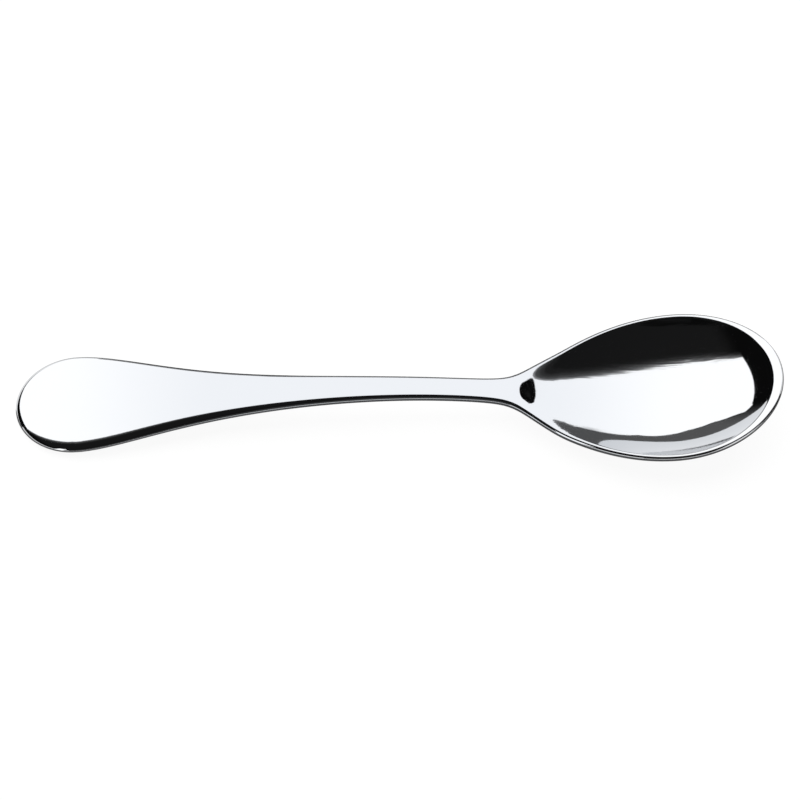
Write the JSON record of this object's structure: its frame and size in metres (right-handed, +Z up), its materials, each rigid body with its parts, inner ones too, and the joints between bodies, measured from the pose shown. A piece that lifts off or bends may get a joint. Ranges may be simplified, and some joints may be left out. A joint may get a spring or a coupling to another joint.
{
  "type": "teaspoon",
  "caption": "Polished stainless teaspoon in one piece, with a flat teardrop handle, a slim arched neck and an egg-shaped bowl that narrows to the neck, for stirring and measuring.",
  "frame": {"origin": "on the table plane, under the middle of the spoon's length and width as it lies on the table", "axes": "+X along the spoon from the handle end to the tip of the bowl, +Y across it to the left, +Z up out of the bowl"},
  "size_m": [0.138, 0.03, 0.0102],
  "materials": {
    "polished_steel": "mirror-polished stainless steel with fine polishing lines along the length"
  },
  "bodies": {
    "root": {"spoon": "polished_steel"}
  },
  "joints": []
}
